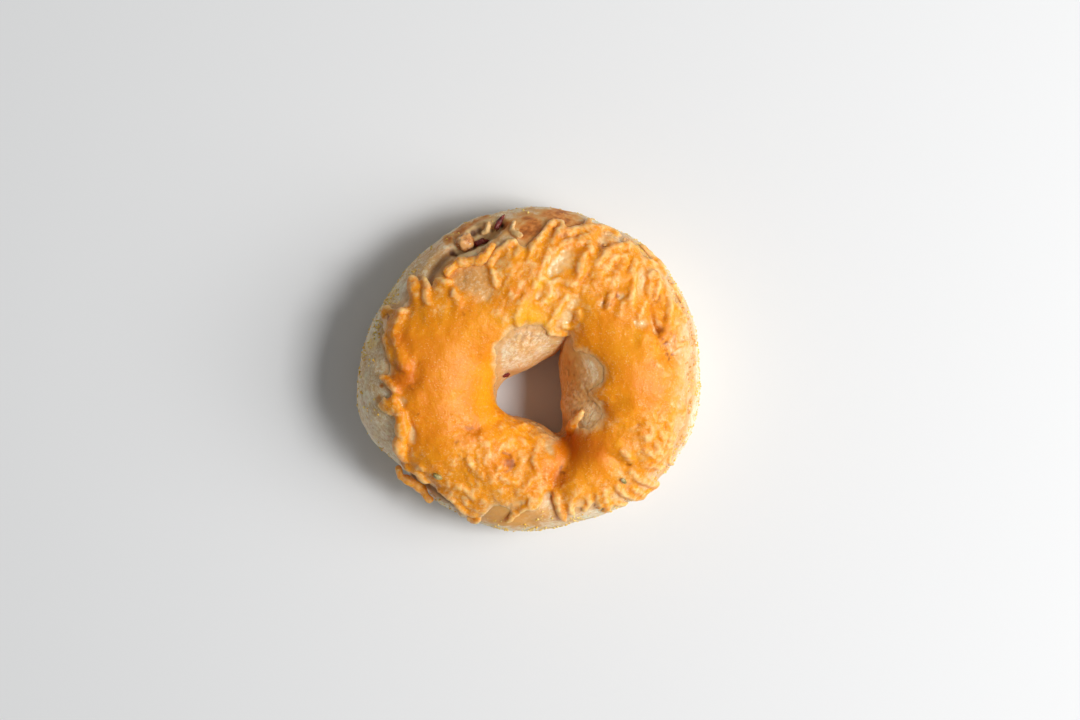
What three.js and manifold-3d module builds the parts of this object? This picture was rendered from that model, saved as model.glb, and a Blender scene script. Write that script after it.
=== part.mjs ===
// A cheese-topped bagel, baked whole, lying on its flat base. Millimetres, +Z up.
// The ring lies in the XY plane with its base at z = 0, and the origin is under the middle of its outline.
import * as THREE from "three";
import { ParametricGeometry } from "three/addons/geometries/ParametricGeometry.js";
import { mergeVertices } from "three/addons/utils/BufferGeometryUtils.js";
import Module from "manifold-3d";

const wasm = await Module();
wasm.setup();

// ---------------------------------------------------------------- driving dimensions
// The ring's rim seen from above: [angle from +X in degrees, distance from the origin].
const RIM_RADIUS = [
  [0, 52.5], [15, 52.4], [30, 51.5], [45, 51], [60, 49.9], [75, 49.5], [90, 49.1], [105, 48.4],
  [120, 47.5], [135, 48.2], [150, 49.1], [165, 50.1], [180, 51.5], [192, 53.5], [200, 53],
  [215, 50.4], [230, 48.5], [240, 48.2], [255, 49.2], [270, 49.1], [285, 48.6], [300, 50.2],
  [315, 51.2], [330, 53], [345, 52.8],
];
// The hole is a rounded triangle off the middle, with a pinched corner at 60 degrees.
const HOLE_CENTRE = new THREE.Vector2(2, -7);
const HOLE_RADIUS = [
  [0, 8.2], [15, 8.2], [30, 8.8], [45, 10.6], [54, 12.8], [60, 17.8], [65, 13.2], [75, 10.7],
  [90, 8.6], [105, 7.6], [120, 7.6], [135, 8.3], [150, 9.9], [165, 11.4], [180, 12.7], [195, 13.4],
  [210, 12.9], [225, 11.2], [240, 9.6], [255, 9.4], [270, 10], [285, 12.4], [298, 15.2],
  [306, 14.4], [318, 11.4], [330, 9.7], [345, 8.5],
];
// Height of the crown of the tube round the ring.
const CROWN_HEIGHT = [
  [0, 36], [30, 35], [60, 34.5], [90, 36.5], [120, 37], [150, 36.5], [180, 37], [210, 35],
  [240, 32], [270, 30], [300, 29.5], [330, 33],
];
const EQUATOR_SHARE = 0.44; // height of the widest level, as a share of the crown height
const CROWN_ROUNDNESS = 2.15; // exponent of the superellipse above the widest level
const BASE_ROUNDNESS = 2.7; // and below it, where the dough slumped on the tray
const BASE_SINK = 1.5; // how far the lower curve would reach under the base if it were not flat
const RING_STATIONS = 90;
const RING_SECTION_STEPS = 32;

// The torn pocket near the rim: an ellipsoid scooped out of the crust.
const POCKET_AT = [-15.6, 40, 0.8]; // [x, y, height of its middle above the crust]
const POCKET_HALF_AXES = [11.4, 4.8, 5.4];
const POCKET_TURN = 36;

// The melted cheese, as it is seen from above: its outer edge and its edge towards the hole.
const CHEESE_OUTER_EDGE = [
  [50, -2], [50, 6], [47, 15], [45, 22], [39, 29], [33, 35], [25, 37], [17, 42], [9, 41], [1, 42],
  [-5, 39], [-9, 36], [-13, 32], [-20, 31], [-26, 30], [-32, 28], [-39, 21], [-42, 12], [-43, 4],
  [-42, -5], [-43, -13], [-39, -21], [-38, -28], [-33, -34], [-27, -38.5], [-21, -42], [-16, -44],
  [-11, -43.5], [-4, -44], [3, -42.5], [10, -44], [18, -43], [25, -41], [33, -37], [39, -32],
  [44, -25], [48, -16],
  [50, -9],
];
const CHEESE_INNER_EDGE = [
  [21, 1], [17, 4], [13, 6], [11.5, 9.7], [9, 11], [4, 12.5], [-2, 12], [-8, 9], [-10.5, 4],
  [-11, 0], [-12, -5], [-12, -10], [-10, -14], [-6, -16], [-1, -17], [4, -20], [8, -23.5],
  [13, -20.5], [19, -17], [21, -12], [19, -8], [21.5, -4],
];
const CHEESE_THICKNESS = 1.8;
const CHEESE_RIPPLE = 0.45;
const CHEESE_STATIONS = 90;
const CHEESE_SECTION_STEPS = 30;
const CHEESE_GAP = 0.4; // clearance between the sheet and the crust under it

// Loose strands of baked cheese: points [x, y, height of the strand's middle above the crust].
const SHRED_HALF_WIDTH = 1.1;
const SHRED_HALF_HEIGHT = 0.8;
const HANGING_SHRED = [[-41.4, -29.5, 2.2], [-38, -33, 2], [-34.6, -36.9, 1.9], [-30.4, -41.6, 1.6]];
const STRAY_SHRED = [[-4.6, 44.2, 1.2], [-5.1, 41.6, 1.2], [-4.2, 40.8, 1.4]];
const RIM_SHRED = [[-25.4, 31.4, 1.6], [-21, 32.7, 1.6], [-15.1, 33.6, 1.6], [-11.4, 37.6, 1.5]];
const POCKET_SHRED = [[-12.8, 43.9, 1.3], [-13, 42.4, -0.4], [-14.8, 41, -1.6]];

// Crumbs of filling: position [x, y, height above the crust], half axes and turn about +Z.
const FILLING = [
  { name: "filling_nugget", at: [-19.6, 39, 1], halfAxes: [2.7, 2.4, 1.9], turn: 20, colour: 0xc98a48 },
  { name: "red_filling_bit_1", at: [-14.6, 38.8, -0.6], halfAxes: [2.2, 0.9, 0.8], turn: 32, colour: 0x7c2318 },
  { name: "red_filling_bit_2", at: [-9.2, 44.6, 0.95], halfAxes: [2, 0.7, 0.6], turn: 48, colour: 0x8a2c20 },
  { name: "red_filling_bit_3", at: [-7.4, -0.7, 0.9], halfAxes: [1.1, 0.7, 0.5], turn: 20, colour: 0x6e1d14 },
  { name: "green_filling_bit_1", at: [-28, -31, 3], halfAxes: [1.2, 0.7, 0.5], turn: 40, colour: 0x6b7a4a },
  { name: "green_filling_bit_2", at: [28, -33, 3], halfAxes: [1.1, 0.7, 0.5], turn: -20, colour: 0x5f6b35 },
];

// ---------------------------------------------------------------- shape of the ring
// A smooth closed function of the angle through [angle, value] pairs that start at or after 0.
function around(pairs) {
  const angles = pairs.map(([angle]) => angle);
  const values = pairs.map(([, value]) => value);
  const curve = new THREE.CubicInterpolant([...angles, angles[0] + 360], [...values, values[0]], 1);
  curve.settings = { endingStart: THREE.WrapAroundEnding, endingEnd: THREE.WrapAroundEnding };
  const first = angles[0];
  return (angle) => curve.evaluate(first + THREE.MathUtils.euclideanModulo(angle - first, 360))[0];
}

const rimRadius = around(RIM_RADIUS);
const holeRadius = around(HOLE_RADIUS);
const crownHeight = around(CROWN_HEIGHT);
const { degToRad, radToDeg, lerp, clamp } = THREE.MathUtils;

// A point of the ring's upper or lower skin. share runs from 0 at the hole to 1 at the rim.
function skinPoint(angle, share, below, target) {
  const radius = lerp(holeRadius(angle), rimRadius(angle), share);
  const across = Math.abs(2 * share - 1);
  const equator = EQUATOR_SHARE * crownHeight(angle);
  const roundness = below ? BASE_ROUNDNESS : CROWN_ROUNDNESS;
  const rise = Math.pow(Math.max(0, 1 - Math.pow(across, roundness)), 1 / roundness);
  const reach = below ? -(equator + BASE_SINK) : crownHeight(angle) - equator;
  return target.set(
    HOLE_CENTRE.x * (1 - share) + radius * Math.cos(degToRad(angle)),
    HOLE_CENTRE.y * (1 - share) + radius * Math.sin(degToRad(angle)),
    Math.max(0, equator + reach * rise),
  );
}

// The ring coordinates, angle and share, of a place seen from above.
function ringPlace(x, y) {
  let share = 0.5;
  let angle = 0;
  for (let step = 0; step < 30; step++) {
    const dx = x - HOLE_CENTRE.x * (1 - share);
    const dy = y - HOLE_CENTRE.y * (1 - share);
    angle = THREE.MathUtils.euclideanModulo(radToDeg(Math.atan2(dy, dx)), 360);
    const hole = holeRadius(angle);
    share = lerp(share, clamp((Math.hypot(dx, dy) - hole) / (rimRadius(angle) - hole), 0, 1), 0.7);
  }
  return { angle, share };
}

// The outward normal of the upper skin.
function skinNormal(angle, share) {
  const step = 0.004;
  const inner = skinPoint(angle, clamp(share - step, 0, 1), false, new THREE.Vector3());
  const outer = skinPoint(angle, clamp(share + step, 0, 1), false, new THREE.Vector3());
  const before = skinPoint(angle - 0.5, share, false, new THREE.Vector3());
  const after = skinPoint(angle + 0.5, share, false, new THREE.Vector3());
  return outer.sub(inner).cross(after.sub(before)).normalize();
}

// The point that stands off the upper skin by a height, over a place seen from above.
function aboveSkin(x, y, height) {
  const { angle, share } = ringPlace(x, y);
  return skinPoint(angle, share, false, new THREE.Vector3()).addScaledVector(skinNormal(angle, share), height);
}

// ---------------------------------------------------------------- solids
function closed(geometry) {
  geometry.deleteAttribute("normal");
  geometry.deleteAttribute("uv");
  return mergeVertices(geometry, 1e-3);
}

function toSolid(geometry) {
  const merged = closed(geometry);
  const vertProperties = merged.attributes.position.array;
  const triVerts = new Uint32Array(merged.index.array);
  return new wasm.Manifold(new wasm.Mesh({ numProp: 3, vertProperties, triVerts }));
}

function toGeometry(solid) {
  const { numProp, vertProperties, triVerts } = solid.getMesh();
  const geometry = new THREE.BufferGeometry();
  const buffer = new THREE.InterleavedBuffer(vertProperties, numProp);
  geometry.setAttribute("position", new THREE.InterleavedBufferAttribute(buffer, 3, 0));
  geometry.setIndex(new THREE.BufferAttribute(triVerts, 1));
  const plain = geometry.toNonIndexed();
  return mergeVertices(plain, 1e-4);
}

function ellipsoid(halfAxes, turn, segments) {
  const geometry = new THREE.SphereGeometry(1, segments, Math.round(segments / 2));
  geometry.scale(...halfAxes);
  geometry.rotateZ(degToRad(turn));
  return geometry;
}

// Turns a geometry that stands on +Z to lean along the skin's normal, and carries it to its place.
function lay(geometry, x, y, height) {
  const { angle, share } = ringPlace(x, y);
  const turn = new THREE.Quaternion().setFromUnitVectors(new THREE.Vector3(0, 0, 1), skinNormal(angle, share));
  geometry.applyQuaternion(turn);
  geometry.translate(...aboveSkin(x, y, height));
  return geometry;
}

// The bread: one closed loop of section carried round the ring, with the torn pocket scooped out.
function breadRing() {
  const loop = (v) => {
    const turn = 2 * Math.PI * v;
    return { share: 0.5 + 0.5 * Math.cos(turn), below: Math.sin(turn) < -1e-9 };
  };
  const section = (u, v, target) => {
    const { share, below } = loop(v % 1);
    skinPoint(360 * (u % 1), share, below, target);
  };
  const ring = toSolid(new ParametricGeometry(section, RING_STATIONS, RING_SECTION_STEPS));
  const pocket = toSolid(lay(ellipsoid(POCKET_HALF_AXES, POCKET_TURN, 24), ...POCKET_AT));
  return toGeometry(ring.subtract(pocket));
}

// The melted cheese: a thin sheet that follows the crust, thick in the middle and thin at its edges.
function meltedCheese() {
  const byAngle = (edge) => {
    const places = edge.map(([x, y]) => ringPlace(x, y)).sort((a, b) => a.angle - b.angle);
    return around(places.map(({ angle, share }) => [angle, share]));
  };
  const outerShare = byAngle(CHEESE_OUTER_EDGE);
  const innerShare = byAngle(CHEESE_INNER_EDGE);
  // Steps of equal arc along a round section rather than of equal share.
  const arcOf = (share) => Math.acos(clamp(2 * share - 1, -1, 1));
  const sheet = (u, v, target) => {
    const angle = 360 * (u % 1);
    const over = v <= 0.5;
    const along = over ? 1 - 2 * v : 2 * v - 1;
    const arc = lerp(arcOf(innerShare(angle)), arcOf(outerShare(angle)), along);
    const share = 0.5 + 0.5 * Math.cos(arc);
    const ripple = CHEESE_RIPPLE * Math.sin(5 * along + 7 * degToRad(angle)) * Math.cos(9 * degToRad(angle));
    const rounding = Math.sqrt(1 - Math.pow(Math.abs(2 * along - 1), 6));
    const height = CHEESE_GAP + (over ? (CHEESE_THICKNESS + ripple) * rounding : 0);
    skinPoint(angle, share, false, target).addScaledVector(skinNormal(angle, share), height);
  };
  return closed(new ParametricGeometry(sheet, CHEESE_STATIONS, CHEESE_SECTION_STEPS));
}

// A strand of cheese: an oval section drawn along a curve laid over the crust.
function shred(points) {
  const path = new THREE.CatmullRomCurve3(points.map(([x, y, height]) => aboveSkin(x, y, height)));
  const section = new THREE.Shape();
  section.absellipse(0, 0, SHRED_HALF_HEIGHT, SHRED_HALF_WIDTH, 0, 2 * Math.PI);
  const options = { extrudePath: path, steps: 10, curveSegments: 8 };
  return closed(new THREE.ExtrudeGeometry(section, options));
}

// ---------------------------------------------------------------- the bagel
const bagel = new THREE.Group();

function add(name, geometry, colour, roughness) {
  const material = new THREE.MeshStandardMaterial({ color: colour, roughness, metalness: 0 });
  const mesh = new THREE.Mesh(geometry, material);
  mesh.name = name;
  bagel.add(mesh);
}

add("bread_ring", breadRing(), 0xd9b98a, 0.7);
add("melted_cheese", meltedCheese(), 0xf09a2a, 0.45);
add("hanging_cheese_shred", shred(HANGING_SHRED), 0xf0a24a, 0.5);
add("stray_cheese_shred", shred(STRAY_SHRED), 0xf0a24a, 0.5);
add("rim_cheese_shred", shred(RIM_SHRED), 0xe8a860, 0.5);
add("pocket_cheese_shred", shred(POCKET_SHRED), 0xe0a070, 0.5);
for (const { name, at, halfAxes, turn, colour } of FILLING) {
  add(name, closed(lay(ellipsoid(halfAxes, turn, 12), ...at)), colour, 0.6);
}

export default bagel;
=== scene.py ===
"""A baked bagel topped with melted shredded cheese, with a torn pocket of filling and cornmeal on its rim."""

import math
import random

import bmesh
import bpy
import numpy as np
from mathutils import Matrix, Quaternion, Vector, noise
from mathutils.bvhtree import BVHTree


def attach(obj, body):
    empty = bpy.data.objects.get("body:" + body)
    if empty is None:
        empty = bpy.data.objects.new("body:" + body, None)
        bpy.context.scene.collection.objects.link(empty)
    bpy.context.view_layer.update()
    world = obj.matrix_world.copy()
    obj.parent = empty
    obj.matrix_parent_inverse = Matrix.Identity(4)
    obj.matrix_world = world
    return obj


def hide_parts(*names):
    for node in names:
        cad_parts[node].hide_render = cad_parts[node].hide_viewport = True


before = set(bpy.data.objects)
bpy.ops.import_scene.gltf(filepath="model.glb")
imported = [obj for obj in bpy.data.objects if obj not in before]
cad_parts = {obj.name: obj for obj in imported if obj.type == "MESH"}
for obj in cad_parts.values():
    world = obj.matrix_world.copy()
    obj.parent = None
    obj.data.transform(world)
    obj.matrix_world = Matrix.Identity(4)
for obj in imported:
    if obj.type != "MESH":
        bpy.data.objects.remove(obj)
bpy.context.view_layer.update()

bl_info = {
    "name": "Cheese Bagel",
    "version": (1, 0, 0),
    "blender": (4, 5, 0),
    "location": "View3D > Sidebar > Bagel",
    "description": "Builds the visible bagel round its packed solids",
    "category": "Object",
}

MM = 0.001
BODY = "root"
SEED = 7


# ------------------------------------------------------------------ sizes and colours
def linear(code):
    """The scene-linear RGBA of an sRGB hex colour."""
    channels = [int(code[i : i + 2], 16) / 255 for i in (1, 3, 5)]
    return (*[c / 12.92 if c <= 0.04045 else ((c + 0.055) / 1.055) ** 2.4 for c in channels], 1.0)


def length(name, description, default_mm):
    """A length property, given in millimetres and kept in metres."""
    return bpy.props.FloatProperty(name=name, description=description, default=default_mm * MM, unit="LENGTH")


def colour(name, description, code):
    """A colour property from an sRGB hex colour."""
    return bpy.props.FloatVectorProperty(
        name=name, description=description, default=linear(code), size=4, subtype="COLOR", min=0, max=1
    )


class BagelSizes(bpy.types.PropertyGroup):
    """Sizes of the bagel's surface details."""

    crust_voxel: length("Crust detail", "Edge length of the faces of the crust", 0.59)
    cheese_voxel: length("Cheese detail", "Edge length of the faces of the cheese", 0.49)
    lump_depth: length("Lumps", "Depth of the slow lumps of the dough", 0.45)
    wrinkle_depth: length("Wrinkles", "Depth of the fine wrinkles round the ring", 0.16)
    sheet_depth: length("Melted sheet", "Thickness of the run-together cheese", 1.0)
    shred_width: length("Shred width", "Width of one grated shred after baking", 2.0)
    grain_size: length("Cornmeal", "Middle size of a cornmeal grain", 0.5)


class BagelColours(bpy.types.PropertyGroup):
    """Colours of the bagel's materials."""

    crust_pale: colour("Pale crust", "Crust that stayed pale in the oven", "#F3E1BE")
    crust_warm: colour("Warm crust", "Crust with a little more bake", "#E4BC82")
    crust_toast: colour("Toasted crust", "Crust that browned", "#D88438")
    crust_dark: colour("Dark crust", "The darkest toasted edges", "#8E4A20")
    cheese_deep_and_shade: colour("Deep cheese", "Thick melted cheese in the hollows", "#D26C06")
    cheese_body: colour("Cheese", "Melted cheese", "#F59E14")
    cheese_pale: colour("Dried cheese", "Tops of the shreds that dried", "#F8CC8C")
    cheese_brown_and_shade: colour("Browned cheese", "Blistered and browned spots", "#AC5C0C")
    nugget: colour("Nugget", "Golden toasted nugget of filling", "#E9AC68")
    red_bit: colour("Red bit", "Dried red filling", "#84241E")
    green_bit: colour("Green bit", "Green herb filling", "#8E8040")
    cornmeal: colour("Cornmeal", "Yellow cornmeal grains", "#F0C040")
    floor: colour("Floor", "Plain pale studio floor", "#E6E6E6")


# ------------------------------------------------------------------ places on the bagel, in millimetres
# The edge of the run-together cheese, seen from above. Its loose shreds stand out past it.
SHEET_RIM = [
    (-43, -4), (-42, 1), (-43.5, 8), (-44.5, 13), (-43, 17.5), (-39.5, 19), (-37, 21), (-35, 26.5), (-32, 27),
    (-29.6, 25), (-27.6, 27.6), (-25, 29.4), (-21, 31.2), (-15.5, 32.4), (-12, 34), (-9.5, 35.5), (-7, 37), (-4.5, 37.8), (-1, 37.2), (2, 39.2), (5.5, 42), (8, 44), (9.6, 42.5),
    (12, 40.5), (16, 41.5), (20, 42.5), (24, 42), (28, 40), (33, 37), (38, 32.5), (42, 27), (45, 21),
    (48.5, 14), (49.4, 7), (49.2, 1), (49, -6), (48, -13), (46, -20), (43, -26.6), (39.5, -32), (35, -37.4),
    (27, -40), (20, -41.5), (13, -42.5), (10.5, -44.5), (8.3, -44.5), (7.5, -40), (5.5, -38.5), (2.5, -40.5),
    (-2, -43), (-5, -44.5), (-7.5, -42), (-10.5, -42), (-14, -45), (-19, -44.5), (-23, -41), (-28, -37),
    (-31, -34.5), (-34.5, -31.5), (-38.2, -28.5), (-39, -22), (-38.5, -15), (-39.5, -9),
]
SHEET_HOLE = [
    (11.5, 9.6), (8, 9.9), (4.5, 11.8), (0.5, 12.6), (-3.5, 12), (-7, 9.6), (-9.2, 6.3), (-9.4, 2), (-9.6, -2),
    (-10.4, -5), (-9.6, -8.4), (-8.2, -10.6), (-6, -12), (-2, -13.2), (1.6, -15.6), (4.4, -18.6), (6.4, -20),
    (8.4, -20.4), (10.2, -19.6), (12.2, -18.2), (14, -16.5), (15.5, -17.5), (18, -17.9), (20.6, -15.5), (21, -12),
    (18.4, -9.6), (16.8, -7.2), (18.8, -5.6), (21.6, -3.2), (21.4, 0.2), (19.2, 3.2), (16.5, 4.2), (13.2, 4.6),
]
# The way most shreds lie, in degrees from +X.
SHRED_LIE = 62
# Places where the sheet melted so thin that the glazed crust shows: (x, y, half width, half length, turn).
WINDOWS = [
    (8.8, 31.8, 2.6, 5, -38), (12.3, 15.6, 1.6, 4, 38), (34, 25.8, 1.9, 4, 18), (37.3, 12.3, 1, 3.4, 25),
    (5.8, -24.3, 1.2, 2.6, 30), (7, 24.3, 1.1, 2.6, -20), (-35, -19, 1.1, 5, 8), (-9.5, -43.6, 1.6, 3.2, 80),
    (23, 20.5, 0.9, 2.6, -15), (22.2, 37.8, 1.2, 2, 50), (18.5, -40, 1, 2.5, -10), (27.2, 21.4, 1.2, 1.7, 20),
    (35.8, -20.6, 1.2, 2.4, 20), (36.8, -25, 1.8, 1.1, 10), (41, -21, 1, 2, 10), (33, -17, 0.8, 1.3, 0),
    (26, -37.4, 1.1, 2, -40), (32, 14, 1, 1.4, -40), (0.6, 34.6, 1, 1.6, -20), (30, -36.6, 1, 1.6, -30),
]
# Stretches where the cheese baked to a lace with small gaps: (x, y, radius, strength).
LACE = [
    (47, 12, 7, 0.9), (48, -2, 6, 0.9), (46, -14, 6, 0.9), (42, 24, 5, 0.8), (41, -24, 6, 0.9), (34, -33, 6, 0.8),
    (22, -40, 5, 0.7), (28, 32, 8, 0.6), (12, 30, 6, 0.7), (8, 16, 6, 0.7), (-2, 30, 5, 0.35), (-14, 20, 4, 0.5),
    (-1, -40, 5, 0.5), (-16, -40, 5, 0.4), (35, 12, 4, 0.5), (36, 24, 4, 0.5), (16, 40, 5, 0.6),
]
# Stretches where the cheese is only a film: (x, y, radius, strength).
THIN = [
    (-20, 27.5, 5, 1), (-15, 27, 4.6, 1), (-13, 22.6, 3.4, 0.8), (-24.6, 26.6, 2.6, 0.8), (-12, 30.6, 2.4, 0.7),
    (3, 21.6, 2.4, 0.9), (10.6, 14.4, 2.4, 0.9), (13.4, 20, 2.2, 0.8), (15, 16.6, 2, 0.7), (8, 24.4, 1.8, 0.8), (34.6, 26, 2, 0.8), (34, 13, 2, 0.8), (48, 8, 4.4, 0.9), (48.4, -1, 4.4, 0.9), (48, -9, 4.4, 0.9), (46, -18, 4, 0.7), (4, -43, 4, 0.5), (-7.5, -43.4, 3, 0.8), (13, 14, 3, 0.5), (-38, -19, 3, 0.4),
]
# Stretches where many shreds fused into a thick plate: (x, y, radius, strength).
PLATES = [
    (-6, 31, 5, 0.9), (-3, 24, 5, 0.8), (0, 35, 4, 0.8), (4, 39, 3, 0.6), (24, 31, 5, 0.7), (18, 30, 4, 0.6),
    (-8, -22, 5, 0.6), (-11, -31, 5, 0.6), (-37, 10, 4, 0.8), (-39, 15, 3.6, 0.8), (-36, 3, 4, 0.6),
    (-24, -37, 4, 0.6), (-17, -40, 4, 0.6), (-34, 23, 3, 0.7), (36, -18, 4, 0.4), (-24, 21, 4, 0.5),
]
# Stretches where the cheese ran out smooth, with no shreds standing up: (x, y, radius).
SMOOTH = [
    (-24, 2, 15), (-18, 12, 9), (-14, -6, 9), (-33, 8, 6), (-29, -12, 7), (28, 2, 11), (24, 10, 9),
    (34, -4, 7), (15, -26, 7), (22, -25, 6), (-28, -24, 6), (30, -10, 6), (1, 16, 4),
]
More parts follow.
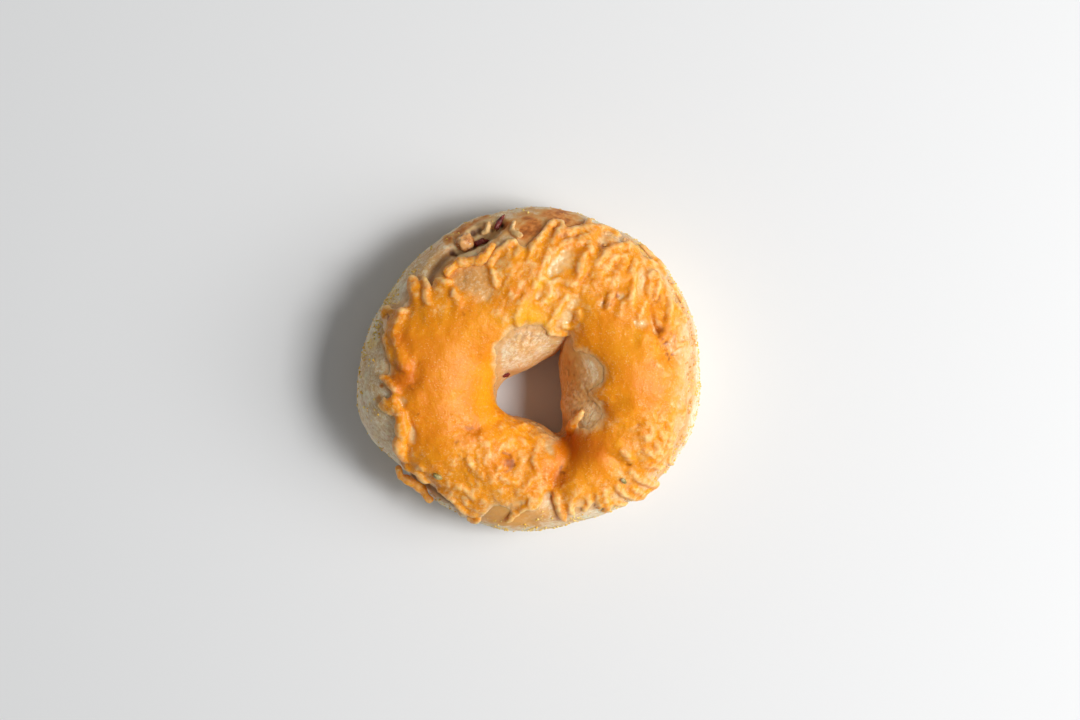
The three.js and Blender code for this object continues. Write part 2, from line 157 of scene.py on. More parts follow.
# Shreds that kept their shape: width, height of the middle above the crust, then the route seen from above.
SHREDS = [
    # along the top, left of the middle
    (2.2, 1.2, (-12, 30.2), (-11, 33), (-8.6, 35.6), (-6, 37.6), (-3.6, 38)),
    (1.8, 1.1, (-9.6, 24.5), (-10.8, 27), (-11.2, 30)),
    (1.8, 1.3, (-5.4, 27), (-5, 31), (-3.6, 34), (-3, 36.8)),
    (1.6, 1.2, (-8.2, 30.5), (-6.6, 33.5), (-6, 36.6)),
    (2, 1.2, (-0.6, 32), (0.8, 36), (3.4, 39.4), (6, 42.6), (7.8, 44.6)),
    (2.2, 1.3, (8.6, 44.4), (9.6, 42.3), (8, 39.6), (6.2, 36.6), (5, 33.8)),
    (2, 1.2, (1.8, 28), (3.8, 31), (6, 34.2), (9.6, 37), (13.6, 38.6)),
    (2, 1.1, (6, 37.6), (10, 40.4), (14, 41.8), (17, 42.9), (18.2, 45.2)),
    (2, 1, (14, 38.8), (17, 39.6), (20, 41.4), (24, 42.8)),
    (2.4, 1.5, (13.6, 25), (15, 28.6), (15.4, 32), (16.8, 34.6), (18.6, 36.6), (16.4, 37.8), (13, 38)),
    (2.2, 1.2, (3, 27.4), (6, 26), (9, 26.4), (12, 25.6), (14.6, 24.6)),
    (2.2, 1, (-3.6, 13), (-4, 17), (-2, 20.4), (0.8, 23.6), (2.8, 27), (4, 30)),
    (1.8, 1, (0, 20), (3, 19.6), (5.4, 22), (7, 25)),
    (1.8, 1, (5, 12.6), (7.2, 16.6), (9.4, 20), (12, 23)),
    (1.8, 0.9, (9.6, 13.4), (12.6, 13), (15, 15.6), (14, 18)),
    (1.8, 0.9, (5, 10.8), (8, 11.2), (11, 10.4)),
    # upper right
    (2.2, 1.1, (10, 39.6), (15, 41.6), (18, 42.3), (22, 42.6), (25, 41.6), (27.6, 40)),
    (1.8, 1, (20, 36.8), (22, 34.8), (21.4, 32.4), (20, 31)),
    (2.6, 1.6, (19.6, 31), (21.6, 33.4), (24, 35.6), (27, 36.6), (30, 36.6), (32, 35)),
    (2.2, 1.3, (20.4, 27.4), (22.4, 29.6), (25, 33), (27, 34), (28.4, 32.6), (28, 30.4)),
    (2, 1.2, (17.6, 25.6), (21, 26.4), (25, 27), (27.2, 29.6), (29, 33), (30.2, 35.6)),
    (2, 1.1, (22, 25), (26, 25.8), (29.6, 28), (31, 31), (31.4, 34.4)),
    (2, 1.3, (31, 17), (30.4, 21), (30.8, 25), (31.6, 29)),
    (2.2, 1.5, (35.6, 20.6), (35.8, 25), (36.2, 28.4), (38, 28), (38.6, 24.6), (38, 21)),
    (1.8, 1.1, (32.8, 14.6), (33.2, 18), (35, 20.6)),
    (2, 1.2, (23, 17.6), (24.2, 21), (25, 24)),
    (1.8, 1.1, (26.8, 15), (27.4, 18), (29, 21)),
    (1.8, 1.2, (39.6, 8.6), (39.8, 12), (38.2, 15), (37.8, 18.6)),
    (1.8, 1, (41, 9), (41.4, 13), (42.2, 18), (41.6, 22)),
    (1.8, 1, (33, 37.6), (36, 35), (39, 31.6), (41, 28)),
    (1.8, 0.9, (32, 31), (35, 32.6), (38.4, 31.4)),
    (1.8, 0.9, (42.4, 26), (44.2, 23.6), (45.8, 20)),
    (1.6, 0.9, (43.4, 19.6), (45.2, 17), (46.8, 14)),
    (1.5, 0.4, (43.6, 6.4), (46, 7.6), (48.6, 7.6)),
    # lower right
    (2, 1.2, (34.4, -14.4), (36.2, -17), (37, -20), (38, -23), (39, -25.4), (37.6, -27)),
    (1.8, 1, (38, -17), (39.6, -20), (39.4, -23)),
    (1.8, 1.1, (34, -24), (36, -25), (38, -26.6), (40, -26.2)),
    (1.8, 1, (32.8, -18.8), (35, -20), (36.6, -21.4)),
    (1.6, 0.9, (41, -15), (42.2, -19), (42, -23)),
    (1.5, 0.4, (45, -8), (46, -12), (46.8, -15)),
    (1.8, 0.9, (43, -24.6), (42, -27.6), (43.4, -29)),
    (1.8, 1, (31, -30), (34, -29), (37, -28.6), (40, -29.6)),
    (2.2, 1.2, (29, -30), (32, -32), (35, -34), (38, -34.8), (39.2, -36), (37.4, -37.6), (35, -37)),
    (2.2, 1, (30, -35), (33, -36.6), (34.6, -38.8), (31.6, -39.6)),
    (2, 1, (26, -34), (28, -37), (31, -38.4), (33, -39.2)),
    (2.2, 1.1, (22, -35.6), (23, -39), (23.6, -41.6), (22, -43)),
    (1.8, 1, (20, -36.6), (21, -40), (21, -42.4)),
    (1.8, 1, (17, -36.6), (17.6, -40), (16, -42.8)),
    (1.8, 0.9, (25, -39.6), (27, -40.6), (30, -40.6)),
    (2.2, 1.1, (23, -22), (24.8, -24), (28, -24.2), (30, -26), (30.6, -28)),
    (2.2, 1.3, (12.4, -19.4), (13.4, -17), (14.8, -14.6), (16.4, -12.6)),
    # along the bottom
    (2, 1.2, (-13, -17), (-13.2, -22), (-12, -27), (-11.6, -32), (-10.6, -34.6)),
    (2, 1.1, (-9.6, -17.6), (-7, -19), (-4, -18.2), (-1.6, -17.6)),
    (2, 1.4, (-8.4, -23.4), (-5.8, -25), (-4.8, -28), (-6.6, -30.6), (-9.6, -29.6), (-10.6, -26.6), (-8.8, -24)),
    (1.8, 1.1, (-16, -25), (-14.4, -30), (-13, -34)),
    (1.8, 1, (-9, -32.2), (-6, -33.6), (-3, -34.4)),
    (1.8, 1, (-7.6, -46), (-5.4, -44.6), (-3, -43), (0, -40.6), (2, -38.4), (3.2, -36)),
    (1.8, 1, (-4, -38), (0, -37), (2.6, -36)),
    (1.8, 1, (0, -42), (2, -41), (4, -39.2)),
    (2, 1.1, (8, -36), (8.4, -40), (9.8, -44), (11, -45.6)),
    (2, 1.1, (13.4, -38), (12.4, -42), (13, -44)),
    (2, 1, (-0.4, -20), (1.8, -24), (1.4, -28), (3, -31)),
    (1.8, 1, (-5, -20.4), (-2, -22.4), (0, -26)),
    (1.8, 0.9, (10, -36), (13, -34), (17, -34)),
    # lower left
    (3.4, 1.7, (-39.6, -10.4), (-38.4, -13.4), (-37.8, -17), (-38.6, -20.4), (-38.4, -24), (-36.6, -27.4)),
    (2.4, 1.4, (-39.4, -13), (-41.6, -11), (-43.4, -8.4)),
    (2.2, 1.5, (-38.8, -11.6), (-40.4, -9.4), (-41, -7.8)),
    (2, 1.2, (-40, -13.4), (-43, -12), (-44.8, -10)),
    (2.2, 1.2, (-38.4, -27.6), (-36, -29.4), (-33.6, -30.6), (-31.6, -33), (-30, -34)),
    (2.2, 1.4, (-33.6, -29.8), (-32.2, -29), (-31.2, -30.4)),
    (2.2, 1.2, (-27, -34), (-24, -35), (-21, -35.4), (-18, -37), (-16, -39)),
    (2, 1.1, (-27.4, -36.4), (-24, -38.4), (-21, -41), (-19, -43), (-16, -44)),
    (2, 1.2, (-20, -37), (-19, -40), (-17, -41.4)),
    (2, 1.2, (-19, -26), (-16.4, -30), (-13.6, -33)),
    (2.2, 1.2, (-15.4, -20), (-13.6, -24), (-13, -29)),
    (2.4, 1, (-19, -44.6), (-17, -45.6), (-14.4, -45.2)),
    # left and upper left
    (2.2, 1.1, (-44.6, -2), (-43, -3), (-41, -5), (-38.8, -8)),
    (3.2, 1.6, (-34.6, 27.6), (-34.4, 24), (-33, 21)),
    (2.2, 1.4, (-32, 27.6), (-31, 25), (-31, 22), (-30, 20), (-28, 18)),
    (1.8, 1, (-28.4, 26.6), (-25.8, 26), (-23, 26)),
    (1.8, 1.2, (-28, 24), (-26, 23)),
    (2.4, 1.3, (-22.8, 24.6), (-22.4, 22), (-20.6, 21)),
    (2, 1.2, (-22.4, 17), (-21, 19), (-19.6, 20.4)),
    (3.4, 1.5, (-37.4, 18), (-38.4, 15), (-39, 12), (-39.6, 9), (-38.6, 5), (-37, 1), (-36, -1)),
    (2.6, 1.1, (-40.4, 14), (-42, 11), (-42.4, 8), (-41.2, 5), (-40.4, 2)),
    (2, 1.1, (-44, 15.6), (-43, 18), (-41, 17)),
]
CHEESE_MARKS = ("film", "frost", "fleck", "low", "deep_and_shade", "yellow", "glaze", "brown_and_shade")
# Strands that stand apart from the sheet: node, width, then (x, y, height of the middle above the crust).
LOOSE = [
    ("hanging_cheese_shred", 3, ((-39.2, -28.6, 1.6), (-39.4, -31.4, 2.6), (-36.4, -34.4, 1.8), (-33.6, -37.4, 1.6),
                                   (-31.4, -40, 1.8), (-30, -41.8, 1.6))),
    ("stray_cheese_shred", 2, ((-4.6, 44.2, 0.6), (-5.2, 41.8, 0.6), (-4, 40.3, 0.8), (-2, 39.2, 1.2))),
    ("rim_cheese_shred", 3.2, ((-25.4, 28.4, 0.9), (-23.2, 30.2, 1), (-19.4, 31.6, 1), (-15.2, 32.4, 1),
                               (-12.4, 34.6, 0.9), (-10.4, 37.6, 0.8))),
    ("pocket_cheese_shred", 1.5, ((-12.7, 44.2, 1.4), (-12.9, 42.4, 0.9), (-14.6, 40.8, 0.8))),
]
# Crumbs of filling: node, (x, y, height above the crust), half axes, turn.
RED_BITS = [
    ("red_filling_bit_1", (-14.6, 38, 0.5), (2, 0.9, 0.7), 28),
    ("red_filling_bit_2", (-9.3, 44.2, 0.5), (2.4, 0.8, 0.6), 60),
    ("red_filling_bit_3", (-7.2, -1.6, 0.3), (1.1, 0.8, 0.5), 15),
]
GREEN_BITS = [
    ("green_filling_bit_1", (-27.6, -31.4, 1.5), (1.5, 0.8, 0.7), -35),
    ("green_filling_bit_2", (28.2, -33, 1.4), (1.2, 0.6, 0.5), -50),
]
NUGGET = ("filling_nugget", (-20.2, 38.4, 1.3), (2.8, 2.5, 2.3), 20)
# Browned cheese, with a spot of painted shadow under a bump: (x, y, radius, strength).
CHEESE_BROWN_AND_SHADE = [
    (-4.9, -28.4, 1.7, 0.9), (-18, -18.4, 2.6, 0.35), (-21.5, -21, 2.2, 0.35), (-6.8, -27.6, 1.6, 0.6), (-19.6, -26.6, 1.8, 0.5), (-33.4, -13.4, 1.6, 0.5), (-35, -5.4, 2, 0.4),
    (39.4, 12, 1.6, 0.7), (39.6, 8.2, 1.6, 0.8), (42.6, 9.6, 2, 0.5), (41.6, 4.2, 2, 0.6), (23.4, 19.4, 1.6, 0.6),
    (26.6, 22.4, 2, 0.5), (22, 36.4, 2.4, 0.5), (28.8, -27.4, 1.8, 0.25), (30.6, -28.6, 1.1, 0.4),
    (10.4, -30.6, 1.6, 0.8), (9, -33, 1.4, 0.5), (18.4, 28, 2, 0.35), (11.6, -21, 2, 0.35), (1, 40.6, 2, 0.5),
    (10, 41, 2, 0.5), (-5.6, 31, 1.6, 0.4), (-19, 17.4, 2, 0.4), (38.4, 21.4, 2, 0.45), (47.4, -9.6, 1.4, 0.5),
    (36.6, -29, 1.6, 0.4), (-42.2, 15.8, 1.4, 0.6), (-38.4, -29, 2.4, 0.5), (-41, -2.4, 1.6, 0.4),
]
# Toasted crust, with two spots on the hole's right wall that are painted shade: (x, y, radius, strength).
CRUST_TOAST = [
    (3, 46, 9, 0.5), (9.5, 45.5, 4.5, 0.95), (11.5, 47, 3, 0.7), (1.5, 42.4, 5, 0.6), (-2, 41.5, 3.4, 0.4),
    (-17.6, 44, 3.2, 0.8), (-13.4, 46, 3.2, 0.8), (-21.6, 42, 3, 0.8), (-24.4, 39.6, 2, 0.7), (-7.4, 43.2, 2, 0.75),
    (-18, 27, 9, 0.35), (-12, 37.6, 4, 0.4), (44, 9, 3.4, 0.4), (46, -1, 5, 0.3), (46, -10, 3.6, 0.4),
    (-45.4, -9, 2, 0.4), (-44.4, -5, 0.7, 0.9), (13, -6, 8, 0.32), (12, 3, 4, 0.4), (-1, 42.4, 3, 0.7), (15, 43.5, 2.6, 0.5), (-8.5, -44, 2.8, 0.45), (46.6, 18, 2.4, 0.35),
]
POCKET_MIDDLE = (-15.6, 40)
# Splits in the crust, pressed in and painted dark brown along their floor as shade: half width, depth, then the route
# seen from above.
SPLITS = [
    (0.8, 1.7, (-37, -31.4), (-33.4, -33.4), (-29, -36.6), (-25, -39.6), (-21.6, -42.4)),
    (1.2, 0.55, (-23.6, 35.4), (-27, 31.6), (-29.6, 27.6), (-29.4, 23.6)),
]
# Crust under the thinnest film of cheese, baked golden, and spots on the hole's walls painted warm as their shade: (x,
# y, radius, strength).
GLAZED_AND_HOLE_SHADE = [
    (0, 8, 8, 0.35), (-30, -41, 8, 0.5), (-9, -47, 6, 0.8), (2, -46, 7, 0.6), (-30, 38, 8, 0.35),
    (-18, 27, 7, 0.9), (-12, 25, 5, 0.7), (-24, 25, 4, 0.6), (8.8, 32, 4, 0.3), (12, 15, 5, 0.3), (46, 8, 5, 0.45),
    (47, -6, 6, 0.5), (45, -18, 5, 0.5), (40, -30, 5, 0.4), (-5, -45, 5, 0.7), (14, -44, 4, 0.5), (-24, 30, 4, 0.5),
    (15, -12, 5, 0.5), (13, -2, 6, 0.65), (12, 4, 3, 0.7), (2, -20, 5, 0.6),
]
# Thick orange melt in the hollows, with painted shade on the cheese's shaded left slope and in a valley, and clear
# yellow melt: (x, y, radius, strength).
DEEP_AND_SHADE = [
    (-6.4, -28, 2, 0.9), (-16, -19, 3, 0.6), (12, -24, 5, 1), (20, -24, 5, 0.9), (8.4, -33, 4, 0.8), (-30, -20, 6, 0.4), (38, 12, 4, 0.6), (-29, 5, 7, 0.5),
    (-37, -3, 6, 0.9), (-38, 9, 4, 0.7), (-30, -10, 6, 0.3), (16, -20, 4, 0.6), (24, -13, 4, 0.5),
]
YELLOW = [
    (0.5, 16, 3.4, 1), (-4, 15, 3, 0.6), (2.6, 25.6, 2, 1), (6, 21, 2.4, 0.7), (4, 14, 3, 0.6), (5.6, 12, 2.4, 0.6),
    (-9, 15, 3, 0.4), (32, 10, 3, 0.4), (6, 27.4, 1.8, 0.9), (9.4, 17, 2.4, 0.6), (12, 12.6, 2, 0.5), (-1, 19, 2.4, 0.8), (8, 34, 2, 0.3), (27.6, -22.6, 1.6, 0.6), (24, -38, 3, 0.4),
]
# Where the dough bulges or falls in: (x, y, radius, height).
SWELLS = [
    (-41, -33, 9, -1.3), (-43, 24, 8, -0.6), (52, 4, 10, -0.9), (36, 40, 7, 0.5), (25, 45, 7, -0.6), (45, -27, 5, -1),
    (-50, -4, 12, 0.4), (-22, 45, 8, 0.9), (-25, -45, 7, 1.2), (-9, -50, 6, 0.6), (26, -46, 6, -0.5),
]
# The hollows of the pocket, pressed into the crust and painted dark brown as their shade: (x, y, radius, strength).
HOLLOWS_WITH_SHADE = [
    (-23.4, 35, 1.1, 0.9), (-22.2, 34.2, 0.9, 0.7), (-17, 41.2, 1.3, 1), (-15.4, 42.2, 1.1, 0.9), (-8.2, 43.4, 0.9, 0.9),
    (-17, 37.2, 1.1, 0.8), (-11.2, 42, 0.8, 0.6),
]
# Crust wrinkled into a fine net, its grooves painted darker brown as shade: (x, y, radius, strength).
NETTED = [(14, -8, 8, 1), (12, 0, 5, 0.9), (17, -15, 5, 0.7), (0, 10, 8, 0.8)]
# Cornmeal: first and last angle round the rim, lowest and highest level, number of grains.
CORNMEAL = [
    (150, 215, 9, 30, 260), (140, 175, 18, 31, 90), (215, 255, 4, 20, 90), (255, 300, 4, 28, 240),
    (300, 335, 6, 31, 330), (335, 382, 6, 30, 300), (22, 60, 8, 30, 200), (60, 120, 10, 24, 60),
    (120, 150, 8, 27, 90), (0, 360, 1.5, 7, 240),
]
# Crumbs of dried cheese, given in the same way.
CHEESE_CRUMBS = [(296, 340, 22, 34, 170), (340, 392, 24, 34, 210), (32, 66, 24, 34, 110)]
# Crust dusted yellow with the finest cornmeal: (x, y, radius, strength).
DUSTED = [
    (-45, 19, 4.5, 0.8), (-48, 8, 4, 0.7), (-50, -2, 4, 0.5), (-40, 28, 4, 0.5), (-47, -20, 4, 0.5), (-44, -26, 3, 0.5),
    (35, 38, 4, 0.8), (40, 33, 4, 0.4), (47, 20, 4, 0.4), (51, -6, 3.4, 0.6), (46, -25, 4, 0.5), (-9, -48, 4, 0.4),
    (20, -46, 4, 0.5), (36, -40, 3.4, 0.5), (-42, 24, 3, 0.6),
]
# Valleys where two folds of dough meet: half width, depth, route.
CREASES = [
    (2.8, 2.2, (10.4, -18), (12, -21), (12.4, -25), (11.2, -29), (8.6, -33), (6.8, -37.5)),
    (2.2, 1.3, (35.6, 24), (36.6, 19), (38, 14), (39.4, 9), (42, 3.4)),
    (1.5, 1.2, (25, -26), (28.4, -28.9), (31.4, -28)),
    (2, 0.9, (17, -9.2), (22, -11), (27, -10.2)),
    (2.4, 0.8, (-31, -36), (-24, -32), (-18, -31)),
    (1, 1.6, (-8, -25.2), (-5.8, -26), (-4.9, -28), (-5.6, -30.2), (-7.4, -30.8)),
    (1.6, 0.8, (-22, -17.4), (-17, -18.6), (-12, -18)),
    (1.4, 0.7, (-36.6, -6), (-34, -4), (-33.6, 2)),
]


# ------------------------------------------------------------------ shaping helpers
def smooth_route(points, closed=False, steps=8):
    """Points every small step along the rounded curve through the given ones, as an array."""
    given = [np.array(p, float) for p in points]
    if closed:
        given = [given[-1], *given, given[0], given[1]]
    else:
        given = [2 * given[0] - given[1], *given, 2 * given[-1] - given[-2]]
    route = []
    for before, start, end, after in zip(given, given[1:], given[2:], given[3:]):
        for t in np.arange(steps) / steps:
            route.append(
                0.5 * (
                    2 * start + (end - before) * t + (2 * before - 5 * start + 4 * end - after) * t**2
                    + (3 * start - before - 3 * end + after) * t**3
                )
            )
    if not closed:
        route.append(given[-2])
    return np.array(route)


def distance_to(route, places):
    """The distance from each place to the nearest piece of the route."""
    nearest = np.full(len(places), np.inf)
    for start, end in zip(route[:-1], route[1:]):
        span = end - start
        along = np.clip(((places - start) @ span) / max(span @ span, 1e-12), 0, 1)
        nearest = np.minimum(nearest, np.linalg.norm(places - start - along[:, None] * span, axis=1))
    return nearest


def inside(outline, places):
    """Whether each place lies inside the closed outline."""
    hit = np.zeros(len(places), bool)
    x, y = places[:, 0], places[:, 1]
    for (x0, y0), (x1, y1) in zip(outline, np.roll(outline, -1, axis=0)):
        crosses = (y0 > y) != (y1 > y)
        with np.errstate(divide="ignore", invalid="ignore"):
            hit ^= crosses & (x < (x1 - x0) * (y - y0) / (y1 - y0) + x0)
    return hit


def spots(marks, places):
    """How strongly each place is covered by the round marks (x, y, radius, strength), from 0 up to 1."""
    bare = np.ones(len(places))
    for x, y, radius, strength in marks:
        apart = np.hypot(places[:, 0] - x, places[:, 1] - y) / radius
        bare *= 1 - strength * np.exp(-(apart**2))
    return 1 - bare


def ramp(values, low, high):
    """0 below low, 1 above high and an eased step between."""
    t = np.clip((values - low) / (high - low), 0, 1)
    return t * t * (3 - 2 * t)


def noise_at(points, size, octaves=1, seed=0):
    """Smooth gradient noise of about -1 to 1 at each point, with features of the given size in the points' unit."""
    scaled = points / size + seed * np.array((17.3, 7.1, -11.9))
    total, strength = np.zeros(len(points)), 1.5
    for _ in range(octaves):
        cell = np.floor(scaled).astype(np.int64)
        part = scaled - cell
        ease = part**3 * (part * (part * 6 - 15) + 10)
        for corner in np.ndindex(2, 2, 2):
            key = (cell + corner) @ np.array((73856093, 19349663, 83492791))
            key = (key ^ (key >> 13)) * 1274126177
            key ^= key >> 16
            turn = (key & 0xFFFF) / 0xFFFF * 2 * np.pi
            level = ((key >> 20) & 0xFFFF) / 0x7FFF - 1
            flat = np.sqrt(np.maximum(1 - level**2, 0))
            away = part - corner
            slope = away[:, 0] * flat * np.cos(turn) + away[:, 1] * flat * np.sin(turn) + away[:, 2] * level
            total += strength * slope * np.prod(np.where(corner, ease, 1 - ease), axis=1)
        scaled, strength = scaled * 2, strength / 2
    return total


def coordinates(mesh):
    """The mesh's vertex positions, in millimetres."""
    flat = np.empty(len(mesh.vertices) * 3)
    mesh.vertices.foreach_get("co", flat)
    return flat.reshape(-1, 3) / MM


def normals(mesh):
    """The mesh's vertex normals."""
    flat = np.empty(len(mesh.vertices) * 3)
    mesh.vertex_normals.foreach_get("vector", flat)
    return flat.reshape(-1, 3)


def move_to(mesh, points):
    """Puts the mesh's vertices at the given positions, in millimetres."""
    mesh.vertices.foreach_set("co", (points * MM).ravel())
    mesh.update()


def paint(mesh, name, values):
    """Keeps one number for each vertex, for the materials to read."""
    layer = mesh.attributes.get(name) or mesh.attributes.new(name, "FLOAT", "POINT")
    layer.data.foreach_set("value", np.ascontiguousarray(values, dtype=np.float32))


def new_object(name, mesh):
    """An object of the mesh, linked to the scene."""
    made = bpy.data.objects.new(name, mesh)
    bpy.context.collection.objects.link(made)
    return made


def settle(obj):
    """Applies the object's modifiers to its mesh."""
    shaped = bpy.data.meshes.new_from_object(obj.evaluated_get(bpy.context.evaluated_depsgraph_get()))
    old, name = obj.data, obj.name
    obj.modifiers.clear()
    obj.data = shaped
    obj.data.name = name
    if old.users == 0:
        bpy.data.meshes.remove(old)


def fuse(obj, voxel):
    """Turns overlapping closed shapes into one skin of even faces."""
    remesh = obj.modifiers.new("Fuse", "REMESH")
    remesh.mode = "VOXEL"
    remesh.voxel_size = voxel
    settle(obj)


def relax(obj, rounds, factor=0.5):
    """Evens out a dense mesh: each round moves every vertex towards the middle of its neighbours."""
    mesh = obj.data
    ends = np.empty(2 * len(mesh.edges), dtype=np.int32)
    mesh.edges.foreach_get("vertices", ends)
    starts, stops = np.concatenate([ends[::2], ends[1::2]]), np.concatenate([ends[1::2], ends[::2]])
    points = coordinates(mesh)
    shares = np.maximum(np.bincount(starts, minlength=len(points)), 1)
    for _ in range(rounds):
        middle = [np.bincount(starts, points[stops, axis], len(points)) / shares for axis in range(3)]
        points += factor * (np.stack(middle, 1) - points)
    move_to(mesh, points)


def biggest_part(obj):
    """Keeps only the largest connected skin, so that no closed bubble or crumb stays."""
    shaped = bmesh.new()
    shaped.from_mesh(obj.data)
    unseen = set(shaped.verts)
    parts = []
    while unseen:
        stack = [unseen.pop()]
        part = []
        while stack:
            vert = stack.pop()
            part.append(vert)
            for edge in vert.link_edges:
                other = edge.other_vert(vert)
                if other in unseen:
                    unseen.remove(other)
                    stack.append(other)
        parts.append(part)
    parts.sort(key=len)
    for part in parts[:-1]:
        bmesh.ops.delete(shaped, geom=part, context="VERTS")
    shaped.to_mesh(obj.data)
    shaped.free()


def smooth_shade(mesh):
    """Smooth shading on every face."""
    mesh.shade_smooth()


def finish(obj, material, slot, *nodes):
    """Gives a piece its material, ties it to the bagel and hides the solids it stands for."""
    obj.data.materials.clear()
    obj.data.materials.append(material)
    smooth_shade(obj.data)
    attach(obj, BODY)
    if nodes:
        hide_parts(*nodes)


def strands(name, shreds, crust, seed, steps=4):
    """Round strands laid over the crust, one closed tube each; a route point may carry its own height."""
    dice = random.Random(seed)
    curve = bpy.data.curves.new(name, "CURVE")
    curve.dimensions = "3D"
    curve.bevel_depth = 1.0
    curve.bevel_resolution = 1
    curve.use_fill_caps = True
    for width, lift, *route in shreds:
        given = []
        for x, y, height in [(*at, lift)[:3] for at in route]:
            place, normal = crust(x, y)
            given.append(place / MM + normal * height)
        path = smooth_route(given, steps=steps)
        spline = curve.splines.new("POLY")
        spline.points.add(len(path) - 1)
        start = dice.uniform(0, 90)
        for i, at in enumerate(path):
            along = i / (len(path) - 1)
            fade = 0.55 + 0.45 * math.sin(math.pi * along) ** 0.4
            here = Vector((at[0] / 2.6, at[1] / 2.6, start))
            swell = 1 + 0.42 * noise.noise(here)
            point = Vector(at) + 0.4 * noise.noise_vector(here + Vector((7, 7, 7)))
            spline.points[i].co = (*(point * MM), 1)
            spline.points[i].radius = 0.5 * width * MM * fade * swell
    holder = bpy.data.objects.new(name, curve)
    bpy.context.collection.objects.link(holder)
    mesh = bpy.data.meshes.new_from_object(holder.evaluated_get(bpy.context.evaluated_depsgraph_get()))
    bpy.data.objects.remove(holder)
    bpy.data.curves.remove(curve)
    return mesh


# ------------------------------------------------------------------ bread
def crust_tree(mesh):
    """A search tree over a mesh, in metres."""
    shaped = bmesh.new()
    shaped.from_mesh(mesh)
    tree = BVHTree.FromBMesh(shaped)
    shaped.free()
    return tree


def crust_finder(tree):
    """A function from a place seen from above, in millimetres, to the crust's point and outward normal."""
    def find(x, y):
        x, y = x * MM, y * MM
        for pull in (1, 0.985, 0.97, 0.955, 0.94, 0.92):
            place, normal, _, _ = tree.ray_cast(Vector((x * pull, y * pull, 0.1)), Vector((0, 0, -1)))
            if place is not None and place.z > 0.012:
                return place, normal
        place, normal, _, _ = tree.find_nearest(Vector((x, y, 0.022)))
        return place, normal
    return find


def around_ring(points):
    """Coordinates that run fast across the ring and slowly along it, so that noise in them makes streaks."""
    turn = np.arctan2(points[:, 1] + 4, points[:, 0] - 1)
    reach = np.hypot(points[:, 0] - 1, points[:, 1] + 4)
    slow = 16.0
    ring = np.stack([reach + slow * np.cos(turn), points[:, 2] + slow * np.sin(turn), slow * np.sin(2 * turn)], 1)
    outer = ramp(reach, 16, 25)[:, None]
    return outer * ring + (1 - outer) * 0.7 * points


def shape_bread(obj, sizes):
    """Rounds the crust's facets, then presses lumps, wrinkles, splits and the torn pocket into it."""
    shaped = bmesh.new()
    shaped.from_mesh(obj.data)
    bmesh.ops.remove_doubles(shaped, verts=shaped.verts, dist=1e-6)
    bmesh.ops.join_triangles(
        shaped, faces=shaped.faces, angle_face_threshold=math.radians(40), angle_shape_threshold=math.radians(60)
    )
    shaped.to_mesh(obj.data)
    shaped.free()
    rounding = obj.modifiers.new("Rounding", "SUBSURF")
    rounding.levels = rounding.render_levels = 2
    settle(obj)
    fuse(obj, sizes.crust_voxel)
    relax(obj, 6)
    mesh = obj.data
    points = coordinates(mesh)
    outward = normals(mesh)
    seen = points[:, :2]
    off_base = ramp(points[:, 2], 0.8, 5)
    upper = ramp(points[:, 2], 12, 18)
    streak = around_ring(points)
    pocket = np.linalg.norm(seen - np.array(POCKET_MIDDLE), axis=1)
    torn = (1 - ramp(pocket, 9, 13)) * upper
    rise = np.full(len(points), 0.6)
    for x, y, radius, height in SWELLS:
        rise += height * np.exp(-((np.hypot(seen[:, 0] - x, seen[:, 1] - y) / radius) ** 2))
    rise += sizes.lump_depth / MM * noise_at(points, 15, 1, 1)
    rise += 0.5 * sizes.lump_depth / MM * noise_at(points, 6, 1, 2)
    rise += sizes.wrinkle_depth / MM * noise_at(streak * np.array([1, 1, 0.5]), 1.5, 2, 3)
    rise += 0.06 * noise_at(points, 1.1, 1, 4)
    rise += torn * (0.5 * noise_at(points, 2.6, 2, 5))
    rise -= 0.3 * net(points) + 1.3 * upper * spots(HOLLOWS_WITH_SHADE, seen)
    for half_width, depth, *route in CREASES:
        away = distance_to(smooth_route(route), seen)
        rise -= upper * depth * np.exp(-((away / half_width) ** 2))
        rise += upper * 0.3 * depth * np.exp(-(((away - 2.4 * half_width) / half_width) ** 2))
    for half_width, depth, *route in SPLITS:
        away = distance_to(smooth_route(route), seen)
        waver = half_width * (1 + 0.35 * noise_at(points, 3, 1, 6))
        rise -= upper * depth * np.exp(-((away / waver) ** 2))
        rise += upper * 0.35 * np.exp(-(((away - 2.4 * half_width) / half_width) ** 2))
    move_to(mesh, points + outward * (rise * off_base)[:, None])


def net(points):
    """The strength of the fine net of wrinkles at each point, from 0 up to 1."""
    lines = 1 - ramp(np.abs(noise_at(points, 2.3, 2, 17)), 0.02, 0.24)
    return lines * spots(NETTED, points[:, :2]) * ramp(points[:, 2], 6, 12)


